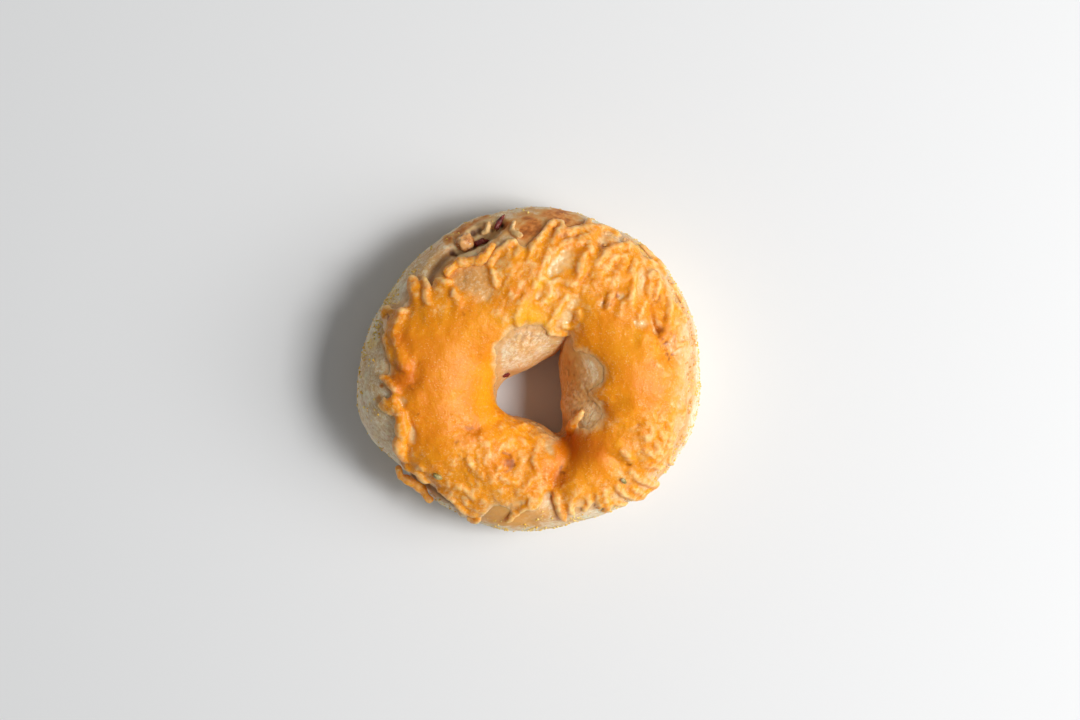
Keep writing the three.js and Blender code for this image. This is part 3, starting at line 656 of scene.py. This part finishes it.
def mark_bread(mesh):
    """Where the crust is toasted, greasy from the cheese and painted with the glow through it, torn open, or creased,
    and where shade is painted: in the splits, the pocket's hollows, the net's grooves and on the hole's walls.
    """
    points = coordinates(mesh)
    seen = points[:, :2]
    upper = ramp(points[:, 2], 13, 20)
    broken = 0.5 + 0.45 * noise_at(points, 3.2, 3, 8) + 0.3 * noise_at(points, 1.3, 2, 9)
    shoulder = ramp(points[:, 2] + 4 * noise_at(points, 5, 2, 10), 15, 25)
    toast = spots(CRUST_TOAST, seen) * shoulder
    toast = np.clip(toast * (0.35 + 1.3 * broken), 0, 1)
    under = (1 - ramp(points[:, 2], 0.2, 3.4))
    toast = np.maximum(toast, 0.42 * under * (0.7 + 0.5 * broken))
    rim = smooth_route(SHEET_RIM, closed=True)
    hole = smooth_route(SHEET_HOLE, closed=True)
    covered = inside(rim, seen) & ~inside(hole, seen)
    edge = np.minimum(distance_to(rim, seen), distance_to(hole, seen))
    # Real grease from the cheese, and a painted glow: the crust under and beside the cheese is painted orange as light
    # through it.
    grease_and_glow = np.where(covered, 1, 1 - ramp(edge, 0.2, 2)) * upper
    glaze = spots(GLAZED_AND_HOLE_SHADE, seen) * shoulder
    # Painted shade and warm bounce light: the walls of the hole are glazed and toasted darker and more orange.
    hole_wall_shade = (1 - ramp(np.hypot(seen[:, 0] - 1, seen[:, 1] + 4), 17, 24)) * (1 - ramp(points[:, 2], 22, 33))
    glaze = np.maximum(glaze, 0.5 * hole_wall_shade)
    toast = np.maximum(toast, 0.3 * hole_wall_shade * (1 - ramp(points[:, 2], 14, 28)))
    # Painted shade: the floors of the splits are painted dark brown.
    splits = np.zeros(len(points))
    for half_width, _, *route in SPLITS:
        splits = np.maximum(splits, np.exp(-((distance_to(smooth_route(route), seen) / (1.1 * half_width)) ** 2)))
    pocket = np.linalg.norm(seen - np.array(POCKET_MIDDLE), axis=1)
    local = (seen - np.array(POCKET_MIDDLE)) @ turned(-36)
    oval = np.hypot(local[:, 0] / 9.6, local[:, 1] / 4.2)
    paint(mesh, "toast", toast)
    paint(mesh, "grease_and_glow", grease_and_glow)
    paint(mesh, "glaze", glaze)
    paint(mesh, "dust", spots(DUSTED, seen) * shoulder)
    paint(mesh, "net", net(points))
    # Painted shade: the pocket's hollows are painted dark brown.
    paint(mesh, "hollow_shade", np.clip(spots(HOLLOWS_WITH_SHADE, seen) * (0.9 + 0.5 * broken) - 0.2, 0, 1) * upper)
    paint(mesh, "split_shade", np.maximum(splits * upper, 0))
    paint(mesh, "torn", (1 - ramp(oval, 0.75, 1.1)) * upper * (pocket < 14))
    streak = around_ring(points)
    layer = mesh.attributes.new("streak", "FLOAT_VECTOR", "POINT")
    layer.data.foreach_set("vector", streak.astype(np.float32).ravel())


def turned(degrees):
    """The matrix that turns row vectors by the angle."""
    c, s = math.cos(math.radians(degrees)), math.sin(math.radians(degrees))
    return np.array([[c, s], [-s, c]])


# ------------------------------------------------------------------ cheese
def wavered(places, seed):
    """The places shifted a little by noise, so that edges drawn through them run irregularly."""
    flat = np.column_stack([places, np.full(len(places), 5.0)])
    sway = [1.0 * noise_at(flat, 3.6, 2, seed + i) + 0.3 * noise_at(flat, 1.3, 1, seed + 4 + i) for i in (0, 1)]
    return places + np.stack(sway, 1)


def sheet_mesh(crust, depth):
    """The run-together cheese: a net laid on the crust inside the sheet's edges, then given its thickness."""
    rim = smooth_route(SHEET_RIM, closed=True)
    hole = smooth_route(SHEET_HOLE, closed=True)
    sunk = 1.0
    shaped = bmesh.new()
    bmesh.ops.create_grid(shaped, x_segments=220, y_segments=220, size=55 * MM)
    seen = np.array([vert.co[:2] for vert in shaped.verts]) / MM
    rough = wavered(seen, 51)
    kept = inside(rim, rough) & ~inside(hole, rough)
    outside = [vert for vert, keep in zip(shaped.verts, kept) if not keep]
    bmesh.ops.delete(shaped, geom=outside, context="VERTS")
    seen, rough = seen[kept], rough[kept]
    edge = np.minimum(distance_to(rim, rough), distance_to(hole, rough))
    flat = np.column_stack([seen, np.zeros(len(seen))])
    calm = spots([(*mark, 1) for mark in SMOOTH], seen)
    lace = spots(LACE, seen)
    holes = np.maximum(window_share(rough), lace * ramp(noise_at(flat, 2.4, 2, 15), -0.05, 0.35))
    thick = depth / MM * ramp(edge, -0.6, 4) * (0.8 + 0.4 * calm + 0.7 * spots(PLATES, rough))
    thick += (0.4 * noise_at(flat, 5, 1, 11) + 0.35 * noise_at(flat, 2.3, 2, 12)) * (1 - 0.75 * calm) * ramp(edge, 0, 2)
    holes = np.maximum(holes, spots(THIN, rough))
    thick = np.maximum(thick, 0.2) * (1 - holes) + 0.06 * holes
    rise = shaped.verts.layers.float_vector.new("rise")
    for vert, (x, y), amount in zip(shaped.verts, seen, thick):
        place, normal = crust(x, y)
        vert.co = place - normal * (sunk * MM)
        vert[rise] = normal * ((sunk + amount) * MM)
    grown = bmesh.ops.extrude_face_region(shaped, geom=shaped.faces[:])
    for vert in grown["geom"]:
        if isinstance(vert, bmesh.types.BMVert):
            vert.co += vert[rise]
    bmesh.ops.recalc_face_normals(shaped, faces=shaped.faces)
    mesh = bpy.data.meshes.new("sheet")
    shaped.to_mesh(mesh)
    shaped.free()
    return mesh


def window_share(places):
    """How fully each place lies in one of the windows, from 0 to 1."""
    share = np.zeros(len(places))
    for x, y, half_width, half_length, turn in WINDOWS:
        local = (places - np.array((x, y))) @ turned(-turn)
        share = np.maximum(share, 1 - ramp(np.hypot(local[:, 0] / half_width, local[:, 1] / half_length), 0.6, 1.3))
    return share


def scattered_shreds(count):
    """Half-melted shreds between the named ones, lying mostly across the ring."""
    dice = random.Random(SEED)
    rim = smooth_route(SHEET_RIM, closed=True)
    hole = smooth_route(SHEET_HOLE, closed=True)
    made = []
    for _ in range(count):
        x, y = dice.uniform(-46, 50), dice.uniform(-46, 46)
        heading = math.atan2(y + 4, x - 1) + dice.gauss(0, 0.7)
        reach, bend = dice.uniform(2.6, 5.4), dice.uniform(-0.5, 0.5)
        width, lift = dice.uniform(1.2, 2), dice.uniform(0.1, 0.6)
        route = [
            (x + reach * t * math.cos(heading + bend * t), y + reach * t * math.sin(heading + bend * t))
            for t in (-1, -0.35, 0.35, 1)
        ]
        places = np.array(route)
        calm = spots([(*mark, 1) for mark in SMOOTH], places).max()
        if inside(rim, places).all() and not inside(hole, places).any() and calm < 0.45:
            if window_share(places).max() < 0.3:
                made.append((width, lift, *route))
    return made


def shape_cheese(obj, sizes, crust):
    """Melts the sheet and its shreds into one skin, then roughens and creases it."""
    shaped = bmesh.new()
    sheet = sheet_mesh(crust, sizes.sheet_depth)
    named = strands("named", [(1.25 * width, lift * 0.58, *route) for width, lift, *route in SHREDS], crust, 3)
    scattered = strands("scattered", scattered_shreds(170), crust, 4, steps=3)
    for mesh in (sheet, named, scattered):
        shaped.from_mesh(mesh)
        bpy.data.meshes.remove(mesh)
    shaped.to_mesh(obj.data)
    shaped.free()
    fuse(obj, sizes.cheese_voxel)
    biggest_part(obj)
    relax(obj, 7)
    mesh = obj.data
    points = coordinates(mesh)
    outward = normals(mesh)
    seen = points[:, :2]
    calm = spots([(*mark, 1) for mark in SMOOTH], seen)
    rise = 0.1 + (1 - 0.7 * calm) * (0.24 * noise_at(points, 2.4, 1, 24) + 0.2 * noise_at(points, 1.2, 1, 21))
    rise += (1 - 0.5 * calm) * 0.09 * noise_at(points, 0.75, 1, 22)
    grained = np.column_stack([seen @ turned(-SHRED_LIE) / (7, 1.5), points[:, 2] / 6])
    rise += (1 - 0.85 * calm) * ramp(spots(PLATES, seen), 0, 0.5) * 0.22 * noise_at(grained, 1, 1, 25)
    move_to(mesh, points + outward * rise[:, None])


def ridges(obj, rounds):
    """How far each point stands out of the evened-out surface round it, in millimetres; valleys are negative."""
    points, outward = coordinates(obj.data), normals(obj.data)
    relax(obj, rounds, 0.8)
    even = coordinates(obj.data)
    move_to(obj.data, points)
    return np.sum((points - even) * outward, axis=1)


def mark_cheese(obj, tree):
    """How thick the cheese lies, how far its shreds dried out and browned, how clear the melt is, and where shade is
    painted into its valleys, creases and shaded slope.
    """
    mesh = obj.data
    ridge = ridges(obj, 9)
    points = coordinates(mesh)
    seen = points[:, :2]
    lift = np.array([tree.find_nearest(Vector(p) * MM)[3] for p in points.tolist()]) / MM
    calm = spots([(*mark, 1) for mark in SMOOTH], seen)
    deep_and_shade = spots(DEEP_AND_SHADE, seen)
    uneven = noise_at(points, 2.8, 3, 31)
    # Browning is painted heavier in the cheese's valleys and along the dough's creases: there it is painted shade.
    streaky = ramp(noise_at(points, 1.5, 2, 37), -0.25, 0.35) * (0.45 + 0.55 * ramp(-ridge, -0.12, 0.12))
    brown_and_shade = 1.5 * spots(CHEESE_BROWN_AND_SHADE, seen) * (0.25 + 0.9 * streaky)
    for half_width, depth, *route in CREASES:
        away = distance_to(smooth_route(route), seen)
        brown_and_shade = np.maximum(brown_and_shade, 0.35 * depth / half_width * np.exp(-((away / (0.6 * half_width)) ** 2)))
    marks = {
        "film": ramp(lift + 0.12 * uneven, 0.2, 0.85),
        "frost": 1.8 * ridge + 0.4 * uneven - 0.45 * deep_and_shade - 0.4 * calm,
        "fleck": -0.05 * calm - 0.04 * deep_and_shade + 0.07 * uneven,
        # Valleys are painted deeper orange: partly the thicker melt that pools there, partly painted shade.
        "low": ramp(-ridge, 0.03, 0.4),
        "deep_and_shade": deep_and_shade,
        "yellow": spots(YELLOW, seen),
        "glaze": spots(GLAZED_AND_HOLE_SHADE, seen),
        "brown_and_shade": np.clip(brown_and_shade, 0, 1),
    }
    for name, values in marks.items():
        paint(mesh, name, values)


def mark_strand(mesh, dryness):
    """The same marks for a strand that stands free, dried out all over."""
    points = coordinates(mesh)
    uneven = noise_at(points, 2, 2, 35)
    for name in CHEESE_MARKS:
        paint(mesh, name, np.zeros(len(points)))
    paint(mesh, "film", np.ones(len(points)))
    paint(mesh, "frost", dryness + 0.3 * uneven)


# ------------------------------------------------------------------ small pieces
def lump(shaped, at, half_axes, rotation, rough, seed, subdivisions=3):
    """Adds one rough pebble shape."""
    made = bmesh.ops.create_icosphere(shaped, subdivisions=subdivisions, radius=1)["verts"]
    for vert in made:
        swell = 1 + rough * noise.fractal(vert.co * 1.7 + Vector((seed * 3.1, seed, 0)), 1, 2, 3)
        vert.co = Vector([math.copysign(abs(c) ** 0.88, c) * half for c, half in zip(vert.co, half_axes)]) * swell * MM
    bmesh.ops.rotate(shaped, verts=made, cent=(0, 0, 0), matrix=rotation.to_matrix())
    bmesh.ops.translate(shaped, verts=made, vec=at)


def crumb(name, place, half_axes, turn, rough, crust, seed):
    """One crumb of filling, lying along the crust."""
    x, y, height = place
    at, normal = crust(x, y)
    lean = Vector((0, 0, 1)).rotation_difference(normal)
    spin = Quaternion((0, 0, 1), math.radians(turn))
    shaped = bmesh.new()
    lump(shaped, at + normal * (height * MM), half_axes, lean @ spin, rough, seed, 4)
    mesh = bpy.data.meshes.new(name)
    shaped.to_mesh(mesh)
    shaped.free()
    return new_object(name, mesh)


def loose_strand(name, width, route, crust, seed):
    """One strand of baked cheese that stands apart from the sheet."""
    obj = new_object(name, strands(name, [(width, 0, *route)], crust, seed, steps=6))
    fuse(obj, 0.25 * MM)
    relax(obj, 3)
    points = coordinates(obj.data)
    outward = normals(obj.data)
    rise = 0.22 * noise_at(points, 1.4, 2, seed) + 0.06 * noise_at(points, 0.6, 1, seed + 1)
    move_to(obj.data, points + outward * rise[:, None])
    return obj


def scatter_grains(obj, tree, size, zones, seed):
    """Small faceted grains pressed into the rim in loose clumps."""
    dice = random.Random(seed)
    shaped = bmesh.new()
    for first, last, low, high, count in zones:
        clumps = [(dice.uniform(first, last), dice.uniform(low, high)) for _ in range(count // 6)]
        for _ in range(count):
            turn, level = dice.choice(clumps)
            turn, level = math.radians(turn + dice.gauss(0, 1.8)), max(level + dice.gauss(0, 1.6), 1) * MM
            outer = Vector((0.08 * math.cos(turn), 0.08 * math.sin(turn), level))
            place, normal, _, _ = tree.ray_cast(outer, Vector((-math.cos(turn), -math.sin(turn), 0)))
            if place is None or place.xy.length < 0.036:
                continue
            grain = size * dice.choice((0.6, 0.8, 1, 1.2, 1.5)) * 0.5
            made = bmesh.ops.create_icosphere(shaped, subdivisions=1, radius=grain)["verts"]
            stretch = Vector([dice.uniform(0.7, 1.3) for _ in range(3)])
            bmesh.ops.scale(shaped, verts=made, vec=stretch)
            spin = Quaternion([dice.uniform(-1, 1) for _ in range(4)]).normalized()
            bmesh.ops.rotate(shaped, verts=made, cent=(0, 0, 0), matrix=spin.to_matrix())
            bmesh.ops.translate(shaped, verts=made, vec=place + normal * (0.2 * grain))
    shaped.to_mesh(obj.data)
    shaped.free()


# ------------------------------------------------------------------ materials
def add(tree, kind, inputs, output=0, **settings):
    """Adds a node with its settings; each input takes a fixed value or another node's output."""
    made = tree.nodes.new(kind)
    for name, value in settings.items():
        setattr(made, name, value)
    for socket, source in inputs.items():
        if isinstance(source, bpy.types.NodeSocket):
            tree.links.new(source, made.inputs[socket])
        else:
            made.inputs[socket].default_value = source
    return None if output is None else made.outputs[output]


def new_material(name):
    """An empty node material and its tree."""
    material = bpy.data.materials.new(name)
    material.use_nodes = True
    material.node_tree.nodes.clear()
    return material, material.node_tree


def coloured(tree, base, layers):
    """Lays colours over a base: source, the values where the layer starts and is full, its largest share, colour."""
    for source, start, full, most, tint in layers:
        share = add(
            tree, "ShaderNodeMapRange", {"Value": source, "From Min": start, "From Max": full, "To Max": most},
            interpolation_type="SMOOTHSTEP",
        )
        base = add(tree, "ShaderNodeMix", {0: share, 6: base, 7: tint}, 2, data_type="RGBA")
    return base


def baked_crust(colours):
    """Boiled, baked dough: a thin satin skin full of fine wrinkles, pale where it rose last, browned where driest, with
    painted shade in its splits, hollows and net and on the hole's walls, and a painted glow beside the cheese.
    """
    material, tree = new_material("baked_bagel_crust")
    here = add(tree, "ShaderNodeTexCoord", {}, "Object")
    read = {
        name: add(tree, "ShaderNodeAttribute", {}, "Fac", attribute_name=name)
        for name in ("toast", "grease_and_glow", "glaze", "dust", "split_shade", "torn", "hollow_shade", "net")
    }
    # Lumps of uneven bake, the skin's pores and its smallest blisters.
    slow, fine, dots = (
        add(tree, "ShaderNodeTexNoise", {"Vector": here, "Scale": 1 / (size * MM), "Detail": detail, "Roughness": rough})
        for size, detail, rough in ((9, 3, 0.5), (1.1, 3, 0.6), (0.5, 1, 0.5))
    )
    streak = add(tree, "ShaderNodeAttribute", {}, "Vector", attribute_name="streak")
    wrinkles = add(
        tree, "ShaderNodeTexNoise",
        {"Vector": streak, "Scale": 0.7, "Detail": 4, "Roughness": 0.66, "Distortion": 0.6},
    )
    # Each mark is broken up by a noise, so that its edge crumbles away.
    toast, glaze, dust, crumb = (
        add(tree, "ShaderNodeMath", {0: pattern, 1: amount, 2: read[name]}, operation="MULTIPLY_ADD")
        for name, pattern, amount in (("toast", fine, 0.5), ("glaze", wrinkles, 1), ("dust", fine, 1), ("torn", slow, 1))
    )
    skin = coloured(tree, colours.crust_pale, (
        (slow, 0.35, 0.68, 1, colours.crust_warm),
        (wrinkles, 0.42, 0.64, 0.5, linear("#C69C6C")),
        (fine, 0.48, 0.66, 0.65, linear("#FFF2DA")),
        (dots, 0.56, 0.7, 0.5, linear("#FFF4DC")),
        # Grease, and the painted glow of light through the cheese.
        (read["grease_and_glow"], 0, 1, 0.65, linear("#E09C50")),
        (glaze, 0.45, 1.3, 1, linear("#E6A352")),
        # Painted shade: darker brown along the net's grooves.
        (read["net"], 0, 1, 0.6, linear("#A8703C")),
        (dust, 0.9, 1.4, 0.9, linear("#F4CC66")),
        (toast, 0.37, 0.75, 1, linear("#E0A25A")),
        (toast, 0.65, 1.1, 1, colours.crust_toast),
        (toast, 0.95, 1.5, 1, colours.crust_dark),
        (read["torn"], 0, 1, 1, linear("#E2BE88")),
        (crumb, 1.3, 1.7, 0.7, linear("#B4834C")),
        # Painted shade: dark brown along the splits.
        (read["split_shade"], 0, 1, 0.75, linear("#8A5A33")),
        # Painted shade: dark brown in the pocket's hollows.
        (read["hollow_shade"], 0, 0.8, 0.9, linear("#5A2E14")),
    ))
    gloss = add(tree, "ShaderNodeMapRange", {"Value": read["grease_and_glow"], "To Min": 0.62, "To Max": 0.36})
    relief = add(tree, "ShaderNodeMath", {0: fine, 1: 0.6, 2: wrinkles}, operation="MULTIPLY_ADD")
    bump = add(tree, "ShaderNodeBump", {"Strength": 0.45, "Distance": 0.35 * MM, "Height": relief})
    shader = add(tree, "ShaderNodeBsdfPrincipled", {
        "Base Color": skin, "Roughness": gloss, "Normal": bump, "IOR": 1.45, "Specular IOR Level": 0.4,
        "Subsurface Weight": 0.6, "Subsurface Scale": 4 * MM, "Subsurface Radius": (1.0, 0.6, 0.35),
    })
    add(tree, "ShaderNodeOutputMaterial", {"Surface": shader}, None)
    return material


def melted_cheddar(colours):
    """Baked orange cheddar: translucent and oily where it ran together, pale, dry and grainy on the shreds' tops, with
    painted shade in its valleys, creases and shaded slope, and painted glints in its specks.
    """
    material, tree = new_material("melted_cheddar")
    here = add(tree, "ShaderNodeTexCoord", {}, "Object")
    read = {name: add(tree, "ShaderNodeAttribute", {}, "Fac", attribute_name=name) for name in CHEESE_MARKS}
    # Milk-fat specks, partly painted glints, the curd's grain and slow changes of thickness.
    dots, grain, slow = (
        add(tree, "ShaderNodeTexNoise", {"Vector": here, "Scale": 1 / (size * MM), "Detail": detail, "Roughness": rough})
        for size, detail, rough in ((0.5, 1, 0.5), (0.8, 3, 0.65), (8, 2, 0.5))
    )
    fleck, frost, scorch_and_shade = (
        add(tree, "ShaderNodeMath", {0: pattern, 1: amount, 2: read[name]}, operation="MULTIPLY_ADD")
        for name, pattern, amount in (("fleck", dots, 1), ("frost", grain, 0.8), ("brown_and_shade", grain, 0.35))
    )
    melt = coloured(tree, linear("#EC9008"), (
        (slow, 0.3, 0.7, 1, colours.cheese_body),
        # Thick melt, and painted shade on the shaded left slope.
        (read["deep_and_shade"], 0, 1, 0.85, colours.cheese_deep_and_shade),
        (read["yellow"], 0, 1, 0.85, linear("#F8B41E")),
        # Painted shade in the valleys, over thicker melt.
        (read["low"], 0, 1, 0.6, linear("#D07408")),
        (frost, 0.25, 1.1, 0.8, colours.cheese_pale),
        # Pale specks: milk fat, and painted glints.
        (fleck, 0.54, 0.74, 0.4, linear("#FFD898")),
    ))
    glaze = coloured(tree, linear("#F2C486"), (
        (slow, 0.35, 0.6, 0.6, linear("#E8AE66")),
        (read["glaze"], 0.2, 1, 0.85, linear("#D68E3E")),
        (grain, 0.5, 0.65, 0.4, linear("#F8E0B4")),
    ))
    body = add(tree, "ShaderNodeMix", {0: read["film"], 6: glaze, 7: melt}, 2, data_type="RGBA")
    # Browned spots, with painted shade in the valleys and creases.
    body = coloured(tree, body, ((scorch_and_shade, 0.26, 1.05, 1, colours.cheese_brown_and_shade),))
    gloss = add(tree, "ShaderNodeMapRange", {"Value": read["film"], "To Min": 0.2, "To Max": 0.4})
    relief = add(tree, "ShaderNodeMath", {0: dots, 1: 0.4, 2: grain}, operation="MULTIPLY_ADD")
    bump = add(tree, "ShaderNodeBump", {"Strength": 0.45, "Distance": 0.35 * MM, "Height": relief})
    depth = add(tree, "ShaderNodeMath", {0: read["film"], 1: 0.7}, operation="MULTIPLY")
    oil = add(tree, "ShaderNodeMapRange", {"Value": read["film"], "To Min": 0.8, "To Max": 0.04})
    shader = add(tree, "ShaderNodeBsdfPrincipled", {
        "Base Color": body, "Roughness": gloss, "Normal": bump, "IOR": 1.46, "Specular IOR Level": 0.3,
        "Subsurface Weight": depth, "Subsurface Scale": 2 * MM, "Subsurface Radius": (1.0, 0.65, 0.2),
        "Coat Weight": oil, "Coat Roughness": 0.12, "Coat IOR": 1.46, "Coat Normal": bump,
    })
    add(tree, "ShaderNodeOutputMaterial", {"Surface": shader}, None)
    return material


def grainy_food(name, grain_mm, roughness, main, patch, fleck):
    """A small dry or toasted bit of food: a main colour with patches of a second and flecks of a third."""
    material, tree = new_material(name)
    here = add(tree, "ShaderNodeTexCoord", {}, "Object")
    grain, slow = (
        add(tree, "ShaderNodeTexNoise", {"Vector": here, "Scale": 1 / (size * MM), "Detail": 3, "Roughness": 0.6})
        for size in (grain_mm, 4 * grain_mm)
    )
    skin = coloured(tree, main, ((slow, 0.4, 0.62, 1, patch), (grain, 0.54, 0.7, 0.75, fleck)))
    bump = add(tree, "ShaderNodeBump", {"Strength": 0.5, "Distance": 0.2 * MM, "Height": grain})
    shader = add(tree, "ShaderNodeBsdfPrincipled", {
        "Base Color": skin, "Normal": bump, "IOR": 1.45, "Roughness": roughness,
    })
    add(tree, "ShaderNodeOutputMaterial", {"Surface": shader}, None)
    return material


def studio_floor(colours):
    """Matt painted board: it scatters light evenly, with no gloss."""
    material, tree = new_material("matt_white_board")
    shader = add(tree, "ShaderNodeBsdfPrincipled", {
        "Base Color": colours.floor, "Roughness": 0.9, "Specular IOR Level": 0.1,
    })
    add(tree, "ShaderNodeOutputMaterial", {"Surface": shader}, None)
    return material


# ------------------------------------------------------------------ operators
def merged_copy(name, cad_node):
    """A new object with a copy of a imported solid's mesh."""
    return new_object(name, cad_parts[cad_node].data.copy())


def baked_bread():
    """The search tree and the crust finder of the finished bread."""
    tree = crust_tree(bpy.data.objects["baked_bread"].data)
    return tree, crust_finder(tree)


class BAGEL_OT_bread(bpy.types.Operator):
    """Build the bread: the whole ring with its crust, splits and torn pocket"""

    bl_idname = "bagel.bread"
    bl_label = "Bread"

    def execute(self, context):
        bread = merged_copy("baked_bread", "bread_ring")
        shape_bread(bread, context.scene.bagel_sizes)
        mark_bread(bread.data)
        finish(bread, baked_crust(context.scene.bagel_colours), "bread_crust", "bread_ring")
        return {"FINISHED"}


class BAGEL_OT_cheese(bpy.types.Operator):
    """Melt the cheese sheet and its shreds onto the bread"""

    bl_idname = "bagel.cheese"
    bl_label = "Melted cheese"

    def execute(self, context):
        tree, crust = baked_bread()
        topping = new_object("cheese_topping", bpy.data.meshes.new("cheese_topping"))
        shape_cheese(topping, context.scene.bagel_sizes, crust)
        mark_cheese(topping, tree)
        finish(topping, melted_cheddar(context.scene.bagel_colours), "melted_cheese", "melted_cheese")
        return {"FINISHED"}


class BAGEL_OT_loose_shreds(bpy.types.Operator):
    """Lay the loose strands of baked cheese"""

    bl_idname = "bagel.loose_shreds"
    bl_label = "Loose shreds"

    def execute(self, context):
        _, crust = baked_bread()
        melted = bpy.data.materials["melted_cheddar"]
        dried = grainy_food("dried_pale_cheddar", 0.6, 0.5, linear("#F2C684"), linear("#E2AC66"), linear("#FBE3B4"))
        for i, (cad_node, width, route) in enumerate(LOOSE):
            strand = loose_strand(cad_node.replace("_cheese", ""), width, route, crust, 40 + i)
            mark_strand(strand.data, 0.15)
            slot = "melted_cheese" if cad_node.startswith("hanging") else "dried_cheese"
            finish(strand, dried if i % 2 else melted, slot, cad_node)
        return {"FINISHED"}


class BAGEL_OT_filling(bpy.types.Operator):
    """Set the crumbs of filling in the pocket and the cheese"""

    bl_idname = "bagel.filling"
    bl_label = "Filling"

    def execute(self, context):
        _, crust = baked_bread()
        colours = context.scene.bagel_colours
        toasted = grainy_food("toasted_nugget", 0.8, 0.45, colours.nugget, linear("#B86A2C"), linear("#FDE8C6"))
        dried = grainy_food("dried_red_filling", 0.5, 0.35, colours.red_bit, linear("#5A120E"), linear("#C07A62"))
        herb = grainy_food("dried_herb_filling", 0.6, 0.45, colours.green_bit, linear("#D8C48E"), linear("#3C381A"))
        groups = [(toasted, "toasted_nugget", 0.2, [NUGGET]), (dried, "red_filling", 0.5, RED_BITS),
                  (herb, "green_filling", 0.25, GREEN_BITS)]
        for material, slot, rough, crumbs in groups:
            for i, (cad_node, place, half_axes, turn) in enumerate(crumbs):
                piece = crumb(cad_node.replace("filling_", ""), place, half_axes, turn, rough, crust, 60 + i)
                finish(piece, material, slot, cad_node)
        return {"FINISHED"}


class BAGEL_OT_cornmeal(bpy.types.Operator):
    """Dust cornmeal and crumbs of dried cheese round the rim"""

    bl_idname = "bagel.cornmeal"
    bl_label = "Cornmeal"

    def execute(self, context):
        tree, _ = baked_bread()
        grains = new_object("cornmeal_grains", bpy.data.meshes.new("cornmeal_grains"))
        scatter_grains(grains, tree, context.scene.bagel_sizes.grain_size, CORNMEAL, SEED + 1)
        colours = context.scene.bagel_colours
        meal = grainy_food("yellow_cornmeal", 0.4, 0.5, colours.cornmeal, linear("#FBE088"), linear("#DFA832"))
        finish(grains, meal, "bread_crust")
        crumbs = new_object("cheese_crumbs", bpy.data.meshes.new("cheese_crumbs"))
        scatter_grains(crumbs, tree, 1.7 * context.scene.bagel_sizes.grain_size, CHEESE_CRUMBS, SEED + 2)
        crisp = grainy_food("crisp_cheese_crumb", 0.5, 0.45, linear("#F2AC54"), linear("#FAD09A"), linear("#E0943A"))
        finish(crumbs, crisp, "dried_cheese")
        return {"FINISHED"}


class BAGEL_OT_stage(bpy.types.Operator):
    """Set the floor, the studio light and the camera that looks straight down"""

    bl_idname = "bagel.stage"
    bl_label = "Stage"

    def execute(self, context):
        shaped = bmesh.new()
        bmesh.ops.create_grid(shaped, x_segments=1, y_segments=1, size=2)
        mesh = bpy.data.meshes.new("floor")
        shaped.to_mesh(mesh)
        shaped.free()
        floor = new_object("floor", mesh)
        floor.data.materials.append(studio_floor(context.scene.bagel_colours))
        add_light("key", 0.38, 8.8, 56, 1.3, -6)
        add_light("broad", 0.95, 11.2, 41, 1.3, -6)
        world = bpy.data.worlds.new("studio")
        world.use_nodes = True
        sky = world.node_tree.nodes["Background"]
        sky.inputs["Color"].default_value = (0.95, 0.98, 1, 1)
        sky.inputs["Strength"].default_value = 0.22
        context.scene.world = world
        context.scene.view_settings.view_transform = "Standard"
        camera = bpy.data.cameras.new("camera")
        camera.sensor_fit = "HORIZONTAL"
        camera.angle = 2 * math.atan(0.5 * VIEW_WIDTH / (VIEW_HEIGHT - EQUATOR))
        eye = new_object("camera", camera)
        eye.location = (*VIEW_CENTRE, VIEW_HEIGHT)
        context.scene.camera = eye
        return {"FINISHED"}


VIEW_HEIGHT = 0.9
VIEW_WIDTH = 0.3306
VIEW_CENTRE = (0.0032, 0.00275)
EQUATOR = 0.018


def add_light(name, size, power, elevation, distance, azimuth):
    """A square softbox aimed at the bagel from the given elevation and compass direction from +X, in degrees."""
    lamp = bpy.data.lights.new(name, "AREA")
    lamp.size = size
    lamp.energy = power
    holder = bpy.data.objects.new(name, lamp)
    bpy.context.collection.objects.link(holder)
    rise, turn = math.radians(elevation), math.radians(azimuth)
    aim = Vector((math.cos(rise) * math.cos(turn), math.cos(rise) * math.sin(turn), math.sin(rise)))
    holder.location = aim * distance
    holder.rotation_euler = aim.to_track_quat("Z", "Y").to_euler()


class BAGEL_PT_panel(bpy.types.Panel):
    """Lists the bagel's sizes, colours and build steps"""

    bl_idname = "BAGEL_PT_panel"
    bl_label = "Cheese bagel"
    bl_space_type = "VIEW_3D"
    bl_region_type = "UI"
    bl_category = "Bagel"

    def draw(self, context):
        for group in (context.scene.bagel_sizes, context.scene.bagel_colours):
            for name in group.__annotations__:
                self.layout.prop(group, name)
        for step in STEPS:
            self.layout.operator(step.bl_idname)


STEPS = (
    BAGEL_OT_stage, BAGEL_OT_bread, BAGEL_OT_cheese, BAGEL_OT_loose_shreds, BAGEL_OT_filling, BAGEL_OT_cornmeal,
)
CLASSES = (BagelSizes, BagelColours, *STEPS, BAGEL_PT_panel)


def register():
    for made in CLASSES:
        bpy.utils.register_class(made)
    bpy.types.Scene.bagel_sizes = bpy.props.PointerProperty(type=BagelSizes)
    bpy.types.Scene.bagel_colours = bpy.props.PointerProperty(type=BagelColours)


def unregister():
    del bpy.types.Scene.bagel_colours
    del bpy.types.Scene.bagel_sizes
    for made in reversed(CLASSES):
        bpy.utils.unregister_class(made)


def main():
    register()
    bpy.ops.bagel.stage()
    bpy.ops.bagel.bread()
    bpy.ops.bagel.cheese()
    bpy.ops.bagel.loose_shreds()
    bpy.ops.bagel.filling()
    bpy.ops.bagel.cornmeal()
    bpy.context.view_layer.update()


if __name__ == "__main__":
    main()
